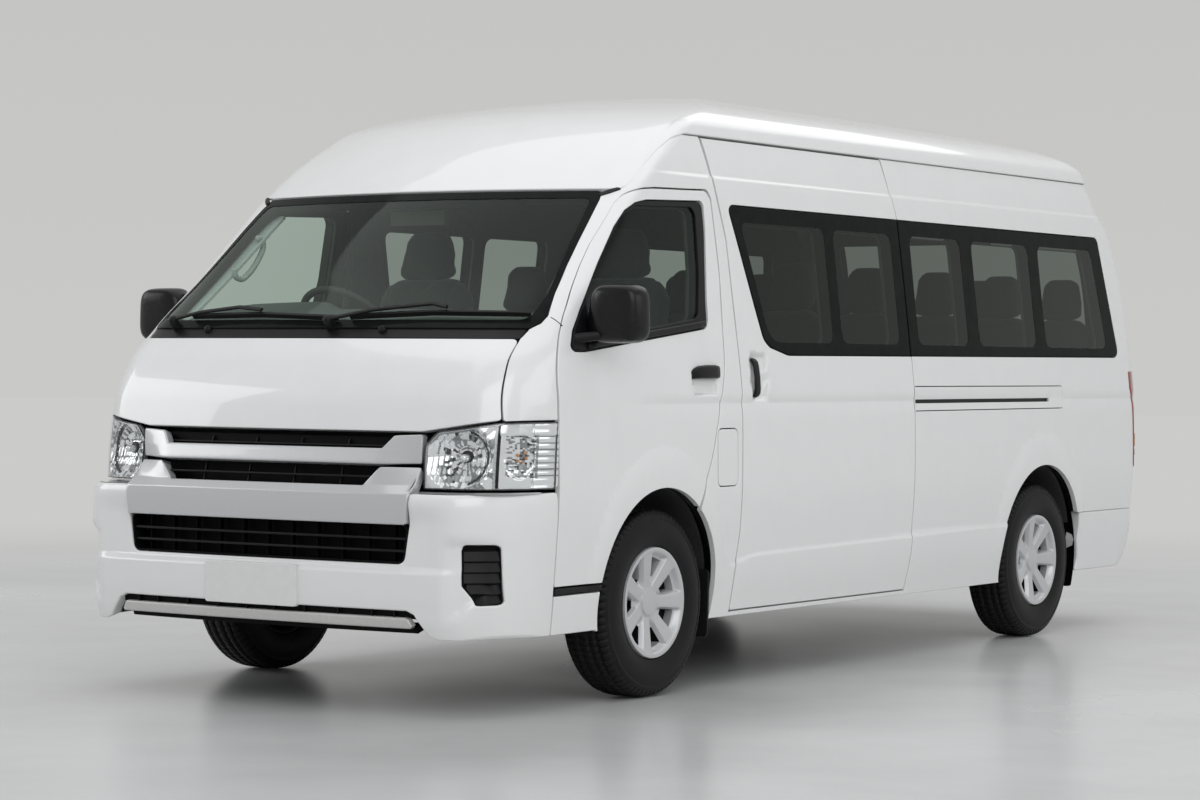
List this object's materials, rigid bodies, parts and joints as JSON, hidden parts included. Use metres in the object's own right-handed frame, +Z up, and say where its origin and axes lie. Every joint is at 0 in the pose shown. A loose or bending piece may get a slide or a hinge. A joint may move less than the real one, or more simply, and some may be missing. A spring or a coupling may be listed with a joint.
{
  "type": "minibus",
  "caption": "High-roof minibus with opening front doors, bonnet and tailgate, steered front wheels and a seated cabin behind dark side windows.",
  "frame": {"origin": "on the ground under the middle of the vehicle", "axes": "+Z up, nose faces -Y, +X is the vehicle's left side"},
  "size_m": [2.244, 5.3798, 2.2499],
  "materials": {
    "body_paint": "gloss",
    "bumper_paint": "gloss",
    "garnish_silver": "satin metallic",
    "black_trim": "matt",
    "mirror_black": "satin",
    "clear_glass": "gloss",
    "dark_glass": "gloss",
    "lamp_clear": "gloss",
    "lamp_bowl": "bright",
    "lamp_red": "gloss",
    "plate_white": "satin",
    "floor_metal": "matt",
    "frame_black": "matt",
    "engine_iron": "rough",
    "axle_steel": "rough",
    "wheel_silver": "satin",
    "tyre_black": "matt",
    "seat_fabric": "woven",
    "cabin_plastic": "grained"
  },
  "bodies": {
    "body": {"body_side_left": "body_paint", "body_side_right": "body_paint", "sliding_door": "body_paint", "sliding_door_handle": "black_trim", "sliding_door_glass": "dark_glass", "side_glass_left": "dark_glass", "side_glass_right": "dark_glass", "roof": "body_paint", "windscreen": "clear_glass", "cowl_panel": "black_trim", "front_bumper": "bumper_paint", "front_garnish": "garnish_silver", "intake_grilles": "black_trim", "front_plate": "plate_white", "headlamps": "lamp_bowl", "headlamp_lenses": "lamp_clear", "wipers": "black_trim", "mudflaps": "black_trim", "fuel_tank": "frame_black", "exhaust": "engine_iron", "spare_wheel": "tyre_black", "door_steps": "body_paint", "rear_bumper": "bumper_paint", "tail_lamps": "lamp_red", "cab_floor": "floor_metal", "saloon_floor": "floor_metal", "chassis_rails": "frame_black", "engine_block": "engine_iron", "propshaft": "axle_steel", "rear_axle": "axle_steel", "leaf_springs": "frame_black", "front_suspension": "frame_black", "dashboard": "cabin_plastic", "steering_column": "cabin_plastic", "front_seats": "seat_fabric", "passenger_seats": "seat_fabric", "interior_mirror": "cabin_plastic"},
    "bonnet": {"bonnet": "body_paint"},
    "front_door_left": {"front_door_left": "body_paint", "front_door_glass_left": "clear_glass", "mirror_left": "mirror_black", "door_handle_left": "black_trim"},
    "front_door_right": {"front_door_right": "body_paint", "front_door_glass_right": "clear_glass", "mirror_right": "mirror_black", "door_handle_right": "black_trim"},
    "tailgate": {"tailgate": "body_paint", "tailgate_glass": "dark_glass", "rear_plate": "plate_white"},
    "knuckle_left": {"knuckle_left": "axle_steel"},
    "knuckle_right": {"knuckle_right": "axle_steel"},
    "wheel_front_left": {"tyre_front_left": "tyre_black", "wheel_front_left": "wheel_silver"},
    "wheel_front_right": {"tyre_front_right": "tyre_black", "wheel_front_right": "wheel_silver"},
    "wheel_rear_left": {"tyre_rear_left": "tyre_black", "wheel_rear_left": "wheel_silver"},
    "wheel_rear_right": {"tyre_rear_right": "tyre_black", "wheel_rear_right": "wheel_silver"},
    "steering_wheel": {"steering_wheel": "cabin_plastic"}
  },
  "joints": [
    {"name": "bonnet_hinge", "type": "hinge", "parent": "body", "child": "bonnet", "pos_m": [0, -2.418, 1.2617], "axis": [-1, 0, 0], "range_deg": [0, 45]},
    {"name": "front_door_left_hinge", "type": "hinge", "parent": "body", "child": "front_door_left", "pos_m": [0.937, -2.245, 0.9], "axis": [0, 0, -1], "range_deg": [0, 65]},
    {"name": "front_door_right_hinge", "type": "hinge", "parent": "body", "child": "front_door_right", "pos_m": [-0.937, -2.245, 0.9], "axis": [0, 0, 1], "range_deg": [0, 65]},
    {"name": "tailgate_hinge", "type": "hinge", "parent": "body", "child": "tailgate", "pos_m": [0, 2.357, 2.005], "axis": [1, 0, 0], "range_deg": [0, 80]},
    {"name": "steer_left", "type": "hinge", "parent": "body", "child": "knuckle_left", "pos_m": [0.755, -1.615, 0.334], "axis": [0, 0, 1], "range_deg": [-34, 34]},
    {"name": "steer_right", "type": "hinge", "parent": "body", "child": "knuckle_right", "pos_m": [-0.755, -1.615, 0.334], "axis": [0, 0, 1], "range_deg": [-34, 34]},
    {"name": "front_left_spin", "type": "hinge", "parent": "knuckle_left", "child": "wheel_front_left", "pos_m": [0.8275, -1.615, 0.334], "axis": [1, 0, 0], "continuous": true},
    {"name": "front_right_spin", "type": "hinge", "parent": "knuckle_right", "child": "wheel_front_right", "pos_m": [-0.8275, -1.615, 0.334], "axis": [1, 0, 0], "continuous": true},
    {"name": "rear_left_spin", "type": "hinge", "parent": "body", "child": "wheel_rear_left", "pos_m": [0.825, 1.495, 0.334], "axis": [1, 0, 0], "continuous": true},
    {"name": "rear_right_spin", "type": "hinge", "parent": "body", "child": "wheel_rear_right", "pos_m": [-0.825, 1.495, 0.334], "axis": [1, 0, 0], "continuous": true},
    {"name": "steering_wheel_turn", "type": "hinge", "parent": "body", "child": "steering_wheel", "pos_m": [-0.4, -1.681, 1.306], "axis": [0, 0.7071, 0.7071], "range_deg": [-540, 540]}
  ],
  "couplings": [
    {"joint": "steer_right", "follows": "steer_left", "ratio": 1}
  ]
}
